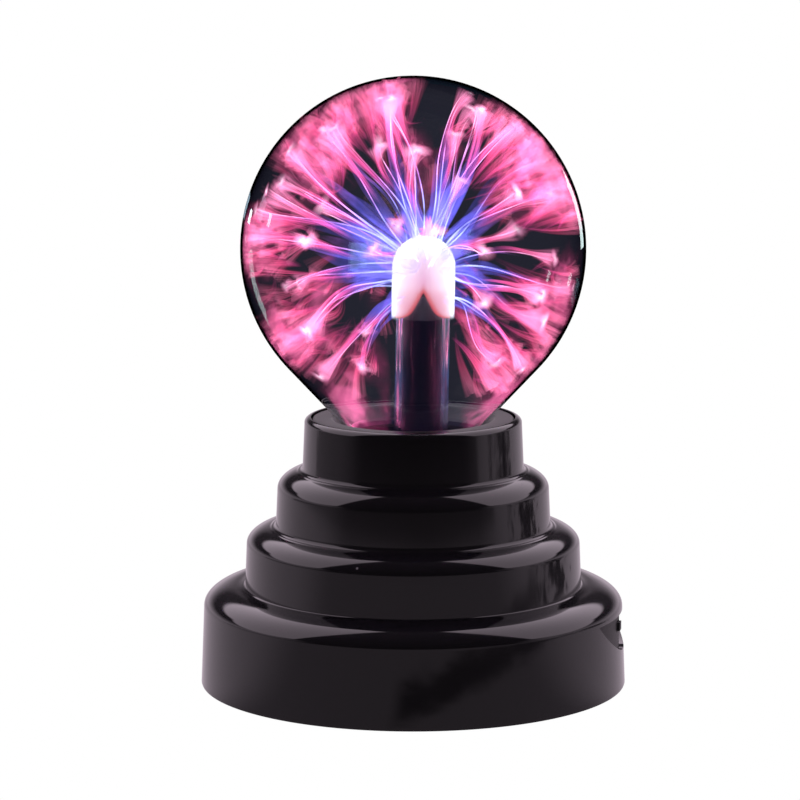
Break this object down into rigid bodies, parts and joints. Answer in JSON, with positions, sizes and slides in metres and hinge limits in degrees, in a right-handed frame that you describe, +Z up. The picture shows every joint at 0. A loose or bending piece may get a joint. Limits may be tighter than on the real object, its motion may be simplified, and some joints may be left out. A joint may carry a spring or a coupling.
{
  "type": "plasma ball",
  "caption": "Plasma ball: a clear glass globe with a glowing electrode and discharge on a stepped round gloss-black base with a battery bay, slide switch and power inlet.",
  "frame": {"origin": "centre of the footprint, on the surface that the rubber feet stand on", "axes": "+Z up along the globe's axis, -Y the front, +X the side with the switch panel and power inlet"},
  "size_m": [0.0996, 0.0996, 0.1427],
  "materials": {
    "clear_glass": "clear blown glass, polished",
    "liner_metal": "bright foil",
    "core_black": "matt carbon black",
    "brass": "bright",
    "silicone_white": "smooth silicone",
    "black_rubber": "matt",
    "ring_black": "satin moulded",
    "gloss_black": "high-gloss moulded",
    "panel_black": "matt moulded",
    "cover_black": "fine texture moulded",
    "screw_steel": "zinc plated",
    "board_green": "solder mask",
    "ferrite": "ground",
    "bobbin_plastic": "moulded",
    "copper": "enamelled wire",
    "moulded_black": "moulded",
    "sink_aluminium": "extruded",
    "film_yellow": "epoxy",
    "can_sleeve": "shrink sleeve",
    "resistor_body": "lacquer",
    "plated_contact": "nickel plated",
    "lead_red": "PVC insulation",
    "lead_grey": "PVC insulation",
    "knob_black": "moulded",
    "cell_jacket": "printed jacket left plain",
    "discharge": "glowing gas"
  },
  "bodies": {
    "base": {"globe_glass": "clear_glass", "stem_tube": "clear_glass", "exhaust_tip": "clear_glass", "electrode_liner": "liner_metal", "electrode_core": "core_black", "hv_ferrule": "brass", "hv_lead": "silicone_white", "globe_cushion": "black_rubber", "retaining_ring": "ring_black", "upper_housing": "gloss_black", "lower_housing": "gloss_black", "side_panel": "panel_black", "base_plate": "cover_black", "rubber_feet": "black_rubber", "base_screws": "screw_steel", "housing_screws": "screw_steel", "circuit_board": "board_green", "board_screws": "screw_steel", "transformer_core": "ferrite", "transformer_bobbin": "bobbin_plastic", "primary_winding": "copper", "hv_winding": "copper", "power_transistor": "moulded_black", "heat_sink": "sink_aluminium", "heat_sink_screw": "screw_steel", "film_capacitor": "film_yellow", "electrolytic_capacitors": "can_sleeve", "resistors": "resistor_body", "diode": "moulded_black", "jack_body": "moulded_black", "jack_pin": "plated_contact", "jack_terminals": "plated_contact", "jack_leads": "lead_red", "switch_case": "screw_steel", "switch_terminals": "plated_contact", "switch_leads": "lead_grey", "battery_cells": "cell_jacket", "battery_springs": "plated_contact", "battery_contacts": "plated_contact", "battery_leads": "lead_red"},
    "switch_slider": {"switch_knob": "knob_black", "switch_wiper": "brass"},
    "battery_door": {"battery_door": "cover_black"}
  },
  "joints": [
    {"name": "switch_slide", "type": "slide", "parent": "base", "child": "switch_slider", "axis": [0.1726, 0.985, 0], "range_m": [0, 0.003]},
    {"name": "battery_door_hinge", "type": "hinge", "parent": "base", "child": "battery_door", "pos_m": [0, -0.02415, 0.0024], "axis": [-1, 0, 0], "range_deg": [0, 90]}
  ]
}
